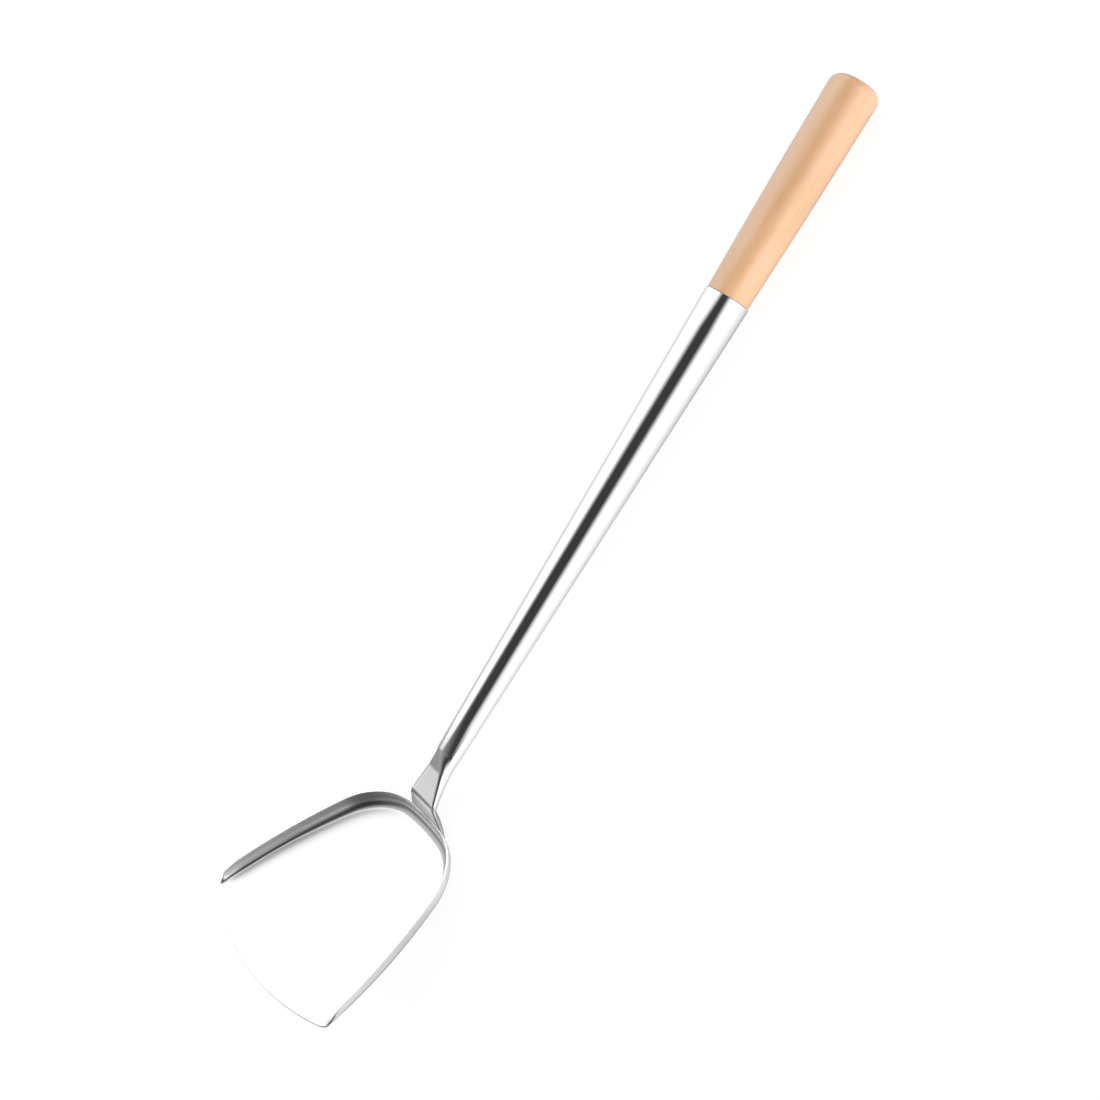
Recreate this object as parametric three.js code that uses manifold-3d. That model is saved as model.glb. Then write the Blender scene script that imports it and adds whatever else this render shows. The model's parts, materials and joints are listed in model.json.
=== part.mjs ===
// Cooking spatula for a wok: a stamped steel scoop blade, a rolled tapered tube and a turned grip.
// Millimetres, +Z up. It lies as it rests on a table, on the heel of its blade and on its grip's end,
// with the scoop facing up along +X. The origin is under the middle of the whole object.
import * as THREE from 'three';
import { mergeVertices } from 'three/addons/utils/BufferGeometryUtils.js';
import Module from 'manifold-3d';

const wasm = await Module();
wasm.setup();

// Blade: its plan outline, before the walls are turned up
const bladeSheet = 1.2;
const bladeLength = 84.8;
const frontWidth = 105.9;
const frontBow = 12;
const frontCornerRadius = 8;
const rearWidth = 62.6;
const rearBow = 4;
const sideBow = 3.4;
const cornerLength = 19.1;

// Blade: the turned-up rim, higher and softer at the rear than at the front corners
const rimHeightRear = 7.7;
const rimHeightFront = 5.3;
const rimLeanRear = 4 * Math.PI / 180;
const rimLeanFront = Math.PI / 180;
const rimTaperStart = 10;
const creaseInset = 3.4;
const filletRear = 3.3;
const filletFront = 1.3;

// Neck: the front wall that rises from the rear rim, and the bend at its top
const neckRise = 18.4;
const neckSetback = 1.6;
const neckWidth = 19.3;
const neckFootWidth = 28.5;
const neckFootDepth = 1.3;
const neckFootTuck = 0.6;
const bendRadius = 9;

// Handle: its slope over the blade's floor, the flat facet pressed into the top of the tube,
// and the blade's tongue that fills the facet and ends just past it
const handlePitch = 32.2 * Math.PI / 180;
const facetLength = 26.1;
const facetDrop = -0.12;
const tonguePast = 2;
const lipGap = 9.2;
const lipDepth = 5.3;

// Tube: rolled from sheet, with its seam along the underside
const tubeSheet = 1;
const tubeLength = 260.4;
const tubeNeckDiameter = 11.5;
const tubeMouthDiameter = 21.2;
const seamGap = 0.3;

// Grip: turned wood with a spigot inside the tube
const gripLength = 106;
const gripStartDiameter = 20.3;
const gripEndDiameter = 23.7;
const gripSwell = 0.25;
const gripEndRound = 4.5;
const gripDome = 1.2;
const gripBevel = 0.5;
const spigotLength = 42;
const spigotChamfer = 1.5;

// Nail: driven through the tube into the spigot, on the hidden side of the seam
const nailSetback = 14;
const nailRoll = 48 * Math.PI / 180;
const nailHeadDiameter = 4.6;
const nailHeadHeight = 1;
const nailShankDiameter = 1.8;
const nailLength = 12;
const nailPoint = 2.4;

// Fits and cuts
const clearance = 0.3;
const overrun = 6;

// Steps of the curves
const sideSteps = 7;
const frontCornerSteps = 10;
const cornerSteps = 9;
const rearSteps = 3;
const filletSteps = 5;
const flankSteps = 13;
const neckSteps = 6;
const bendSteps = 4;
const facetSteps = 8;
const frontSteps = 28;
const gripSteps = 40;
const gripSideSteps = 10;
const gripEndSteps = 6;
const nailSteps = 16;

// Share of each front corner's arc over which the rim dies out
const rimEndShare = 0.7;

// Shares that shape the neck: the facet's outline, its lips and its foot follow powers of the way along
const facetOutlineShare = 0.66;
const lipOpeningShare = 2;
const footFlareShare = 1.15;
const neckHollowShare = 0.4;
const nailCrownShare = 0.85;

const steel = new THREE.MeshStandardMaterial({ color: 0xd4d6d8, roughness: 0.12, metalness: 1 });
const rolledSteel = new THREE.MeshStandardMaterial({ color: 0xcfd1d4, roughness: 0.1, metalness: 1 });
const wood = new THREE.MeshStandardMaterial({ color: 0xe2bd90, roughness: 0.6, metalness: 0 });
const nailSteel = new THREE.MeshStandardMaterial({ color: 0xb9bbbd, roughness: 0.3, metalness: 1 });

const lerp = THREE.MathUtils.lerp;
const clamp = THREE.MathUtils.clamp;

// Solids: a closed three.js geometry becomes a manifold solid, and back
function toSolid(geometry) {
  const bare = geometry.clone();
  for (const name of Object.keys(bare.attributes)) {
    if (name !== 'position') bare.deleteAttribute(name);
  }
  const merged = mergeVertices(bare);
  const corners = [];
  for (let i = 0; i < merged.index.count; i += 3) {
    const [a, b, c] = [0, 1, 2].map((k) => merged.index.getX(i + k));
    if (a !== b && b !== c && c !== a) corners.push(a, b, c);
  }
  return new wasm.Manifold(new wasm.Mesh({
    numProp: 3,
    vertProperties: new Float32Array(merged.attributes.position.array),
    triVerts: new Uint32Array(corners),
  }));
}

function toGeometry(solid) {
  const mesh = solid.getMesh();
  const geometry = new THREE.BufferGeometry();
  geometry.setAttribute('position', new THREE.BufferAttribute(new Float32Array(mesh.vertProperties), 3));
  geometry.setIndex(new THREE.BufferAttribute(new Uint32Array(mesh.triVerts), 1));
  geometry.computeVertexNormals();
  return geometry;
}

function fromPoints(points, corners) {
  const geometry = new THREE.BufferGeometry();
  geometry.setAttribute('position', new THREE.Float32BufferAttribute(points.flatMap((p) => p.toArray()), 3));
  geometry.setIndex(corners);
  return geometry;
}

// Loft: one closed skin through rings of points, each ring given flat as {flat, points}
function loft(rings) {
  const count = rings[0].points.length;
  const corners = [];
  for (let i = 0; i < rings.length - 1; i += 1) {
    for (let j = 0; j < count; j += 1) {
      const a = i * count + j;
      const b = i * count + (j + 1) % count;
      corners.push(a, b, b + count, a, b + count, a + count);
    }
  }
  const last = (rings.length - 1) * count;
  for (const [a, b, c] of THREE.ShapeUtils.triangulateShape(rings[0].flat, [])) corners.push(c, b, a);
  for (const [a, b, c] of THREE.ShapeUtils.triangulateShape(rings.at(-1).flat, [])) {
    corners.push(last + a, last + b, last + c);
  }
  return toSolid(fromPoints(rings.flatMap((ring) => ring.points), corners));
}

// Plan outline of the blade: each place has its point, and how much of the rim stands there
const halfFront = frontWidth / 2;
const halfRear = rearWidth / 2;
const edgeOffset = filletFront + bladeSheet - creaseInset;

function sidePoint(share) {
  const across = lerp(halfRear, halfFront, share) + 4 * sideBow * share * (1 - share);
  return new THREE.Vector2(share * bladeLength, -across);
}

function rearPoint(share) {
  return new THREE.Vector2(-rearBow * (1 - share * share), share * halfRear);
}

// A corner leaves the side and meets the rear on their tangents, as a conic near a round arc
function cornerPoints() {
  const sideShare = cornerLength / bladeLength;
  const rearShare = cornerLength / halfRear - 1;
  const start = sidePoint(sideShare);
  const end = rearPoint(rearShare);
  const sideSlope = (halfRear - halfFront - 4 * sideBow * (1 - 2 * sideShare)) / bladeLength;
  const rearSlope = 2 * rearBow * rearShare / halfRear;
  const along = new THREE.Vector2(-1, -sideSlope).normalize();
  const back = new THREE.Vector2(-rearSlope, -1).normalize();
  const gap = end.clone().sub(start);
  const reach = gap.cross(back) / along.cross(back);
  const tip = start.clone().addScaledVector(along, reach);
  const weight = Math.cos(Math.acos(-along.dot(back)) / 2);
  const points = [];
  for (let i = 1; i < cornerSteps; i += 1) {
    const t = i / cornerSteps;
    const [p, q, r] = [(1 - t) * (1 - t), 2 * weight * t * (1 - t), t * t];
    const point = start.clone().multiplyScalar(p).addScaledVector(tip, q).addScaledVector(end, r);
    points.push(point.divideScalar(p + q + r));
  }
  return points;
}

// The bowed front edge from its middle, then the rounded corner on the tangents of edge and side
function frontPlaces() {
  const bowRadius = (halfFront * halfFront + frontBow * frontBow) / (2 * frontBow);
  const centre = new THREE.Vector2(bladeLength + frontBow - bowRadius, 0);
  const side = new THREE.Vector2(1, (halfRear - halfFront + 4 * sideBow) / bladeLength).normalize();
  const outward = new THREE.Vector2(side.y, -side.x);
  const start = sidePoint(1).sub(centre).addScaledVector(outward, edgeOffset - frontCornerRadius);
  const within = bowRadius - frontCornerRadius;
  const along = start.dot(side);
  const step = Math.sqrt(along * along - start.lengthSq() + within * within) - along;
  const corner = start.addScaledVector(side, step);
  const turn = Math.atan2(corner.y, corner.x);
  const ray = (from, radius, angle) => {
    return new THREE.Vector2(radius * Math.cos(angle), radius * Math.sin(angle)).add(from);
  };
  const places = [];
  for (let i = 0; i < frontSteps / 2; i += 1) {
    places.push({ point: ray(centre, bowRadius - edgeOffset, 2 * turn * i / frontSteps), rim: 0 });
  }
  corner.add(centre);
  for (let i = 0; i <= frontCornerSteps; i += 1) {
    const share = i / frontCornerSteps;
    const angle = lerp(turn, Math.atan2(outward.y, outward.x), share);
    const rim = THREE.MathUtils.smoothstep(share, 1 - rimEndShare, 1);
    places.push({ point: ray(corner, frontCornerRadius - edgeOffset, angle), rim });
  }
  return places;
}

function planOutline() {
  const half = frontPlaces();
  const frontShare = half.at(-1).point.x / bladeLength;
  const sideShare = cornerLength / bladeLength;
  const rearShare = 1 - cornerLength / halfRear;
  const points = [];
  for (let i = 1; i <= sideSteps; i += 1) {
    points.push(sidePoint(lerp(frontShare, sideShare, i / sideSteps)));
  }
  points.push(...cornerPoints());
  for (let i = 0; i < rearSteps / 2; i += 1) {
    points.push(rearPoint(lerp(-rearShare, rearShare, i / rearSteps)));
  }
  half.push(...points.map((point) => ({ point, rim: 1 })));
  const mirrored = half.slice(1).map(({ point, rim }) => {
    return { point: new THREE.Vector2(point.x, -point.y), rim };
  });
  return [...half, ...mirrored.reverse()];
}

// Wall section at one place: [outward, up] from the floor's crease over the rim and back below,
// or flat sheet out to the edge where no rim stands
function wallSection(x, rim) {
  const share = clamp((x - rimTaperStart) / (bladeLength - rimTaperStart), 0, 1);
  const fillet = lerp(filletRear, filletFront, share);
  const touch = -lerp(rimLeanRear, rimLeanFront, share);
  const ray = (radius, angle) => {
    return new THREE.Vector2(radius * Math.cos(angle) - creaseInset, fillet + radius * Math.sin(angle));
  };
  const arc = (radius, i) => ray(radius, lerp(-Math.PI / 2, touch, i / filletSteps));
  const outerTop = ray(fillet + bladeSheet, touch);
  const rise = (lerp(rimHeightRear, rimHeightFront, share) - outerTop.y) / Math.cos(touch);
  outerTop.addScaledVector(new THREE.Vector2(-Math.sin(touch), Math.cos(touch)), rise);
  const inward = new THREE.Vector2(-Math.cos(touch), -Math.sin(touch));
  const top = outerTop.clone().addScaledVector(inward, bladeSheet);
  const steps = Array.from({ length: filletSteps + 1 }, (_, i) => i);
  const inner = steps.map((i) => arc(fillet, i));
  const outer = steps.map((i) => arc(fillet + bladeSheet, filletSteps - i));
  const bent = [...inner, top, outerTop, ...outer];
  return bent.map((point, i) => {
    const above = i <= filletSteps + 1;
    const share = (above ? i : bent.length - 1 - i) / (filletSteps + 1);
    const flat = new THREE.Vector2(lerp(-creaseInset, edgeOffset, share), above ? 0 : -bladeSheet);
    return flat.lerp(point, rim);
  });
}

// Tray: floor, rim and front edge in one sheet
function tray() {
  const plan = planOutline();
  const rows = plan.map(({ point, rim }, i) => {
    const before = plan[(i + plan.length - 1) % plan.length].point;
    const after = plan[(i + 1) % plan.length].point;
    const outward = new THREE.Vector2(before.y - after.y, after.x - before.x).normalize();
    return wallSection(point.x, rim).map((s) => {
      return new THREE.Vector3(point.x + s.x * outward.x, point.y + s.x * outward.y, s.y);
    });
  });
  const count = rows[0].length;
  const corners = [];
  for (let i = 0; i < rows.length; i += 1) {
    const next = (i + 1) % rows.length;
    for (let j = 0; j < count - 1; j += 1) {
      const a = i * count + j;
      const b = next * count + j;
      corners.push(a, b + 1, a + 1, a, b, b + 1);
    }
  }
  const floor = rows.map(([first]) => new THREE.Vector2(first.x, first.y));
  for (const [a, b, c] of THREE.ShapeUtils.triangulateShape(floor, [])) {
    corners.push(a * count, b * count, c * count);
    corners.push(c * count + count - 1, b * count + count - 1, a * count + count - 1);
  }
  return toSolid(fromPoints(rows.flat(), corners));
}

// Cutting space: everything on one side of a plane across the object
const reach = tubeLength + gripLength + bladeLength + frontWidth;

function heading(angle) {
  return new THREE.Vector3(Math.cos(angle), 0, Math.sin(angle));
}

function spaceBeyond(origin, angle) {
  const across = new THREE.Vector3(0, 1, 0);
  const frame = new THREE.Matrix4().makeBasis(heading(angle), across, heading(angle + Math.PI / 2));
  const box = new THREE.BoxGeometry(reach, reach, reach).translate(reach / 2, 0, 0);
  return toSolid(box.applyMatrix4(frame.setPosition(origin)));
}

// Neck line: the front wall leaves the rear fillet on its tangent and leans back up to the bend
const bend = new THREE.Vector3(-rearBow - neckSetback, 0, neckRise);
const heel = new THREE.Vector3(creaseInset - rearBow, 0, filletRear);
const heelToBend = Math.hypot(bend.x - heel.x, bend.z - heel.z);
const wallAngle = Math.atan2(bend.z - heel.z, bend.x - heel.x) - Math.asin(filletRear / heelToBend);
const wallLength = Math.sqrt(heelToBend ** 2 - filletRear ** 2);

// Handle line: the tube's axis runs up and back from just below the bend
const axisAngle = Math.PI - handlePitch;
const axis = heading(axisAngle);
const above = heading(axisAngle - Math.PI / 2);
const handleStart = bend.clone().addScaledVector(above, -facetDrop);

function tubeRadius(s) {
  return lerp(tubeNeckDiameter, tubeMouthDiameter, s / tubeLength) / 2;
}

// Facet: a plane from the bend up to the tube's top line
const facetAngle = axisAngle - Math.atan2(tubeRadius(facetLength) - facetDrop, facetLength);
const bendSetback = bendRadius * Math.tan((facetAngle - wallAngle) / 2);
const jointStation = bendSetback * Math.cos(axisAngle - facetAngle);

function handleSpace(s) {
  return spaceBeyond(handleStart.clone().addScaledVector(axis, s), axisAngle);
}

function tongueSpace(gap) {
  const side = facetAngle - Math.PI / 2;
  const under = bend.clone().addScaledVector(heading(side), -bladeSheet - gap);
  return spaceBeyond(under, side).subtract(handleSpace(facetLength + tonguePast + gap));
}

// Rolled section: a flat top out to the ridge, and a flank curled in to a level lip below.
// With an inset it is the hollow inside the sheet, open between the lips.
function rollSection({ ridge, top, lip, bottom }, inset) {
  const start = 2 * Math.atan2(ridge - lip, top - bottom);
  const radius = (top - bottom) / (1 + Math.cos(start));
  const inner = radius - inset;
  const first = Math.acos(clamp((radius * Math.cos(start) - inset) / inner, -1, 1));
  const right = [];
  for (let i = 0; i <= flankSteps; i += 1) {
    const angle = lerp(first, Math.PI, i / flankSteps);
    right.push(new THREE.Vector2(lip + inner * Math.sin(angle), bottom + radius + inner * Math.cos(angle)));
  }
  if (inset > 0) right.push(new THREE.Vector2(lip, bottom - overrun));
  const left = right.map((p) => new THREE.Vector2(-p.x, p.y));
  return [...left, ...right.reverse()];
}

function rollRing(origin, up, flat, bow) {
  const points = flat.map((p) => {
    const forward = bow * (p.x / halfRear) ** 2;
    return new THREE.Vector3(forward, p.x, 0).add(origin).addScaledVector(up, p.y);
  });
  return { flat, points };
}

// Handle stations, s up from the bend: the facet narrows and the lips close into the round tube
function handleRing(s, inset) {
  const share = clamp(1 - s / facetLength, 0, 1);
  const radius = tubeRadius(s);
  const station = {
    ridge: neckWidth / 2 * share ** facetOutlineShare,
    top: lerp(radius, facetDrop, share),
    lip: lerp(seamGap, lipGap, share ** lipOpeningShare) / 2,
    bottom: -lerp(radius, lipDepth, share),
  };
  return rollRing(handleStart.clone().addScaledVector(axis, s), above, rollSection(station, inset), 0);
}

// Neck stations, share 1 at the bend and 0 at the foot, where the flanks die out in the rear wall
function neckRing(share, origin, surfaceAngle, inset) {
  const angle = lerp(wallAngle, axisAngle, share);
  const skew = 1 / Math.cos(angle - surfaceAngle);
  const ridge = lerp(neckWidth, neckFootWidth, (1 - share) ** footFlareShare) / 2;
  const station = {
    ridge,
    top: 0,
    lip: ridge - lerp(neckFootTuck, (neckWidth - lipGap) / 2, share),
    bottom: -lerp(neckFootDepth, facetDrop + lipDepth, share),
  };
  const flat = rollSection(station, inset * skew);
  return rollRing(origin, heading(angle - Math.PI / 2), flat, rearBow * (1 - share));
}

function bendRings(inset) {
  const centre = bend.clone().addScaledVector(heading(wallAngle), -bendSetback)
    .addScaledVector(heading(wallAngle - Math.PI / 2), -bendRadius);
  const rings = [];
  for (let i = 1; i < bendSteps; i += 1) {
    const angle = lerp(facetAngle, wallAngle, i / bendSteps);
    const origin = centre.clone().addScaledVector(heading(angle - Math.PI / 2), bendRadius);
    const share = 1 + bendSetback / wallLength * (1 - 2 * i / bendSteps);
    rings.push(neckRing(Math.min(share, 1), origin, angle, inset));
  }
  return rings;
}

function wallRings(footShare, inset) {
  const rings = [];
  const topShare = 1 - bendSetback / wallLength;
  for (let i = 0; i <= neckSteps; i += 1) {
    const share = lerp(topShare, footShare, i / neckSteps);
    const origin = bend.clone().addScaledVector(heading(wallAngle), -wallLength * (1 - share));
    rings.push(neckRing(share, origin, wallAngle, inset));
  }
  return rings;
}

function facetRings(inset) {
  const rings = [];
  for (let i = 0; i <= facetSteps; i += 1) {
    rings.push(handleRing(lerp(facetLength, jointStation, (i / facetSteps) ** 2), inset));
  }
  return rings;
}

// Steel parts: one rolled form from the mouth to the foot, parted along the weld of blade and tube
const rolledForm = loft([handleRing(tubeLength, 0), ...facetRings(0), ...bendRings(0), ...wallRings(0, 0)]);

function bladeSolid() {
  const hollow = loft([
    handleRing(jointStation + overrun, bladeSheet),
    handleRing(jointStation, bladeSheet),
    ...bendRings(bladeSheet),
    ...wallRings(neckHollowShare, bladeSheet),
  ]);
  const channel = rolledForm.subtract(handleSpace(jointStation)).subtract(hollow);
  const tongue = rolledForm.intersect(tongueSpace(0));
  return tray().add(channel).add(tongue);
}

function tubeSolid() {
  const bore = loft([
    handleRing(tubeLength + overrun, tubeSheet),
    ...facetRings(tubeSheet),
    handleRing(jointStation - overrun, tubeSheet),
  ]);
  const length = rolledForm.intersect(handleSpace(jointStation + clearance));
  return length.subtract(bore).subtract(tongueSpace(clearance));
}

// Turned pieces: a profile of [radius, along] points turned about the handle's own -X
function turned(profile, steps) {
  const points = profile.map(([radius, along]) => new THREE.Vector2(radius, along));
  return new THREE.LatheGeometry(points, steps, Math.PI / steps).rotateZ(Math.PI / 2);
}

function gripRadius(share) {
  return lerp(gripStartDiameter, gripEndDiameter, share) / 2 + gripSwell * Math.sin(Math.PI * share);
}

function gripProfile() {
  const shoulder = tubeLength + clearance;
  const end = tubeLength + gripLength;
  const tip = tubeLength - spigotLength;
  const spigotRadius = (s) => tubeRadius(s) - tubeSheet - clearance;
  const profile = [[0, tip], [spigotRadius(tip) - spigotChamfer, tip]];
  profile.push([spigotRadius(tip), tip + spigotChamfer], [spigotRadius(tubeLength), shoulder]);
  profile.push([gripRadius(0) - gripBevel, shoulder], [gripRadius(0), shoulder + gripBevel]);
  const roundStart = end - gripDome - gripEndRound;
  for (let i = 1; i <= gripSideSteps; i += 1) {
    const along = lerp(shoulder + gripBevel, roundStart, i / gripSideSteps);
    profile.push([gripRadius((along - shoulder) / gripLength), along]);
  }
  const rim = profile.at(-1)[0];
  for (let i = 1; i <= gripEndSteps; i += 1) {
    const angle = Math.PI / 2 * i / gripEndSteps;
    profile.push([rim - gripEndRound * (1 - Math.cos(angle)), roundStart + gripEndRound * Math.sin(angle)]);
  }
  const crown = rim - gripEndRound;
  profile.push([crown / 2, end - gripDome / 4], [0, end]);
  return profile;
}

// Nail: its head lies on the tube and its shank points in to the handle's axis, along +Y as turned
const nailSurface = tubeRadius(tubeLength - nailSetback);
const nailHead = nailSurface + clearance;
const nailTip = nailHead - nailLength;

function nailPlace(profile) {
  const points = profile.map(([radius, along]) => new THREE.Vector2(radius, along));
  const geometry = new THREE.LatheGeometry(points, nailSteps).rotateX(-Math.PI / 2 - nailRoll);
  return geometry.translate(nailSetback - tubeLength, 0, 0);
}

function nailGeometry() {
  const shank = nailShankDiameter / 2;
  const head = nailHeadDiameter / 2;
  const edge = nailHead + nailHeadHeight / 2;
  return nailPlace([
    [0, nailTip], [shank, nailTip + nailPoint], [shank, nailHead], [head, nailHead], [head, edge],
    [(head + shank) / 2, nailHead + nailHeadHeight * nailCrownShare], [0, nailHead + nailHeadHeight],
  ]);
}

function nailHole() {
  const radius = nailShankDiameter / 2 + clearance;
  const inner = nailTip - clearance;
  const outer = nailSurface + overrun;
  return toSolid(nailPlace([[0, inner], [radius, inner], [radius, outer], [0, outer]]));
}

// Assembly: the turned pieces ride in the handle's own tilted group
function namedMesh(name, geometry, material) {
  const mesh = new THREE.Mesh(geometry, material);
  mesh.name = name;
  return mesh;
}

const handle = new THREE.Group();
handle.position.copy(handleStart);
handle.rotation.y = handlePitch;
handle.updateMatrix();

const handleMatrix = handle.matrix.clone();
const tube = tubeSolid().subtract(nailHole().transform(handleMatrix.elements));
const grip = toSolid(turned(gripProfile(), gripSteps)).subtract(nailHole());
handle.add(namedMesh('wooden_grip', toGeometry(grip), wood));
handle.add(namedMesh('grip_nail', nailGeometry(), nailSteel));

// Rest: the tilt that puts the heel's fillet and the grip's rounded end on one level table
const gripRim = gripRadius(1 - (gripDome + gripEndRound) / gripLength);
const gripFoot = handleStart.clone()
  .addScaledVector(axis, tubeLength + gripLength - gripDome - gripEndRound)
  .addScaledVector(above, gripEndRound - gripRim);
const restLine = heel.clone().sub(gripFoot);
const restSlope = Math.atan2(restLine.z, restLine.x)
  - Math.asin((filletRear + bladeSheet - gripEndRound) / restLine.length());

const spatula = new THREE.Group();
spatula.rotation.y = restSlope;
spatula.add(namedMesh('scoop_blade', toGeometry(bladeSolid()), steel));
spatula.add(namedMesh('handle_tube', toGeometry(tube), rolledSteel));
spatula.add(handle);

const model = new THREE.Group();
model.add(spatula);
model.updateMatrixWorld(true);
const bounds = new THREE.Box3().setFromObject(model, true);
spatula.position.set(-(bounds.min.x + bounds.max.x) / 2, 0, -bounds.min.z);
model.updateMatrixWorld(true);

export default model;
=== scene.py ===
"""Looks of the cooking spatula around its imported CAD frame: stamped scoop, rolled handle, turned grip and nail."""

import json
import logging
import math
from dataclasses import dataclass, field
from enum import Enum
from typing import Any, Callable, Iterable, Sequence

import bmesh
import bpy
from mathutils import Euler, Matrix, Vector


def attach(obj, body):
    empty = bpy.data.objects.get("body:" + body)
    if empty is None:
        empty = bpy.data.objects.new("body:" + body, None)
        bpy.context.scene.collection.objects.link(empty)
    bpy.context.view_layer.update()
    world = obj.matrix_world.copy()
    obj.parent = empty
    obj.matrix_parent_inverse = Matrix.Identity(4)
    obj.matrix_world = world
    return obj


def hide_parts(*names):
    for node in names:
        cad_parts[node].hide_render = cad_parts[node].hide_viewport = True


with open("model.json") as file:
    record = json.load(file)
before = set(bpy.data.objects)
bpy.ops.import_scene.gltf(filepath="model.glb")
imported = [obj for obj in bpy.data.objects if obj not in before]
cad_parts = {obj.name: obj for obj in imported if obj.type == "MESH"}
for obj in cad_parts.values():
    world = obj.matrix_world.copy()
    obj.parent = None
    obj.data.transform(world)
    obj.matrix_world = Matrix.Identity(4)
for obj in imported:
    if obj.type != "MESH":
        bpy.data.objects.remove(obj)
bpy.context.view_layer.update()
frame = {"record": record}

LOG = logging.getLogger("cooking_spatula")
MM = 0.001
PHOTO_PIXELS = 1100
WHITE = (1.0, 1.0, 1.0, 1.0)

Pair = tuple[float, float]
Triple = tuple[float, float, float]
Piece = bpy.types.Object
Tree = bpy.types.NodeTree
Socket = bpy.types.NodeSocket


# Small tools


def lerp(start: float, end: float, share: float) -> float:
    """Returns the value a share of the way from start to end."""
    return start + (end - start) * share


def clamp(value: float) -> float:
    """Returns the value, held between 0 and 1."""
    return max(0.0, min(1.0, value))


def shares(count: int, first: int = 1) -> list[float]:
    """Returns the even shares of a way up to its end, from the first step on."""
    return [i / count for i in range(first, count + 1)]


def ease(share: float) -> float:
    """Returns a share that starts and stops softly."""
    held = clamp(share)
    return held * held * (3 - 2 * held)


def heading(angle: float) -> Vector:
    """Returns the unit vector in the XZ plane at an angle from +X towards +Z."""
    return Vector((math.cos(angle), 0.0, math.sin(angle)))


def linear(code: str) -> tuple[float, float, float, float]:
    """Turns an sRGB hex colour into the linear colour that a shader takes.

    Args:
        code: six hex digits.

    Returns:
        Red, green, blue and alpha.
    """
    channels = [int(code[i:i + 2], 16) / 255 for i in (0, 2, 4)]
    red, green, blue = [c / 12.92 if c <= 0.04045 else ((c + 0.055) / 1.055) ** 2.4 for c in channels]
    return red, green, blue, 1.0


def add_node(tree: Tree, kind: str, inputs: dict[Any, Any] | None = None, **settings: Any) -> bpy.types.Node:
    """Adds one node, with its settings and links.

    Args:
        tree: the node tree that gets it.
        kind: the node's type name.
        inputs: a value or an output socket for each input, by name or number.
        **settings: the node's own properties.

    Returns:
        The new node.
    """
    node = tree.nodes.new(kind)
    for name, value in settings.items():
        setattr(node, name, value)
    for key, value in (inputs or {}).items():
        if isinstance(value, Socket):
            tree.links.new(value, node.inputs[key])
        else:
            node.inputs[key].default_value = value
    return node


def empty_tree(owner: bpy.types.Material | bpy.types.World) -> Tree:
    """Switches a material or a world to nodes and clears them.

    Args:
        owner: the material or world.

    Returns:
        Its node tree, empty.
    """
    owner.use_nodes = True
    owner.node_tree.nodes.clear()
    return owner.node_tree


# Modelling helpers: each drives Blender's own operators on one object


def deselect_all() -> None:
    """Leaves object mode with nothing selected."""
    if bpy.context.object and bpy.context.object.mode != "OBJECT":
        bpy.ops.object.mode_set(mode="OBJECT")
    bpy.ops.object.select_all(action="DESELECT")


def select_only(piece: Piece) -> None:
    """Leaves one object selected and active, in object mode.

    Args:
        piece: the object.
    """
    deselect_all()
    piece.select_set(True)
    bpy.context.view_layer.objects.active = piece


def pick(piece: Piece, numbers: Iterable[int]) -> None:
    """Selects only some vertices and what lies between them.

    Args:
        piece: the object in edit mode.
        numbers: which vertices, by number.
    """
    mesh = bmesh.from_edit_mesh(piece.data)
    mesh.verts.ensure_lookup_table()
    bpy.ops.mesh.select_all(action="DESELECT")
    for number in numbers:
        mesh.verts[number].select_set(True)
    mesh.select_flush(True)


def start_ring(name: str, points: Sequence[Vector], closed: bool = True) -> Piece:
    """Adds a circle with one vertex for each point and lays it on them, left in edit mode and selected.

    Args:
        name: the new object's name.
        points: where the ring's vertices go, in order.
        closed: whether the edge from the last point back to the first stays.

    Returns:
        The new object.
    """
    deselect_all()
    bpy.ops.mesh.primitive_circle_add(vertices=len(points), radius=1.0, fill_type="NOTHING")
    piece = bpy.context.object
    piece.name = piece.data.name = name
    bpy.ops.object.mode_set(mode="EDIT")
    mesh = bmesh.from_edit_mesh(piece.data)
    for vert, point in zip(mesh.verts, points):
        vert.co = point
    bmesh.update_edit_mesh(piece.data)
    if not closed:
        pick(piece, (0, len(points) - 1))
        bpy.ops.mesh.delete(type="EDGE")
        bpy.ops.mesh.select_all(action="SELECT")
    return piece


def extrude_rings(piece: Piece, rings: Iterable[Sequence[Vector]]) -> None:
    """Extrudes the selected edge ring once for each further ring of points, and lays it on them.

    Args:
        piece: the object in edit mode, with the latest ring selected.
        rings: points for each new ring, in the first ring's order.
    """
    mesh = bmesh.from_edit_mesh(piece.data)
    order = [v for v in mesh.verts if v.select]
    for points in rings:
        bpy.ops.mesh.extrude_edges_move()
        mesh = bmesh.from_edit_mesh(piece.data)
        fresh = {v for v in mesh.verts if v.select}
        order = [next(e.other_vert(v) for e in v.link_edges if e.other_vert(v) in fresh) for v in order]
        for vert, point in zip(order, points):
            vert.co = point
        bmesh.update_edit_mesh(piece.data)


def face_outwards() -> None:
    """Leaves edit mode with every face turned outwards."""
    bpy.ops.mesh.select_all(action="SELECT")
    bpy.ops.mesh.normals_make_consistent(inside=False)
    bpy.ops.object.mode_set(mode="OBJECT")


def apply_modifier(piece: Piece, kind: str, **settings: Any) -> None:
    """Adds a modifier with its settings and applies it.

    Args:
        piece: the object that gets it.
        kind: the modifier's type name.
        **settings: the modifier's own properties.
    """
    modifier = piece.modifiers.new(kind.lower(), kind)
    for name, value in settings.items():
        setattr(modifier, name, value)
    select_only(piece)
    bpy.ops.object.modifier_apply(modifier=modifier.name)


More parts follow.
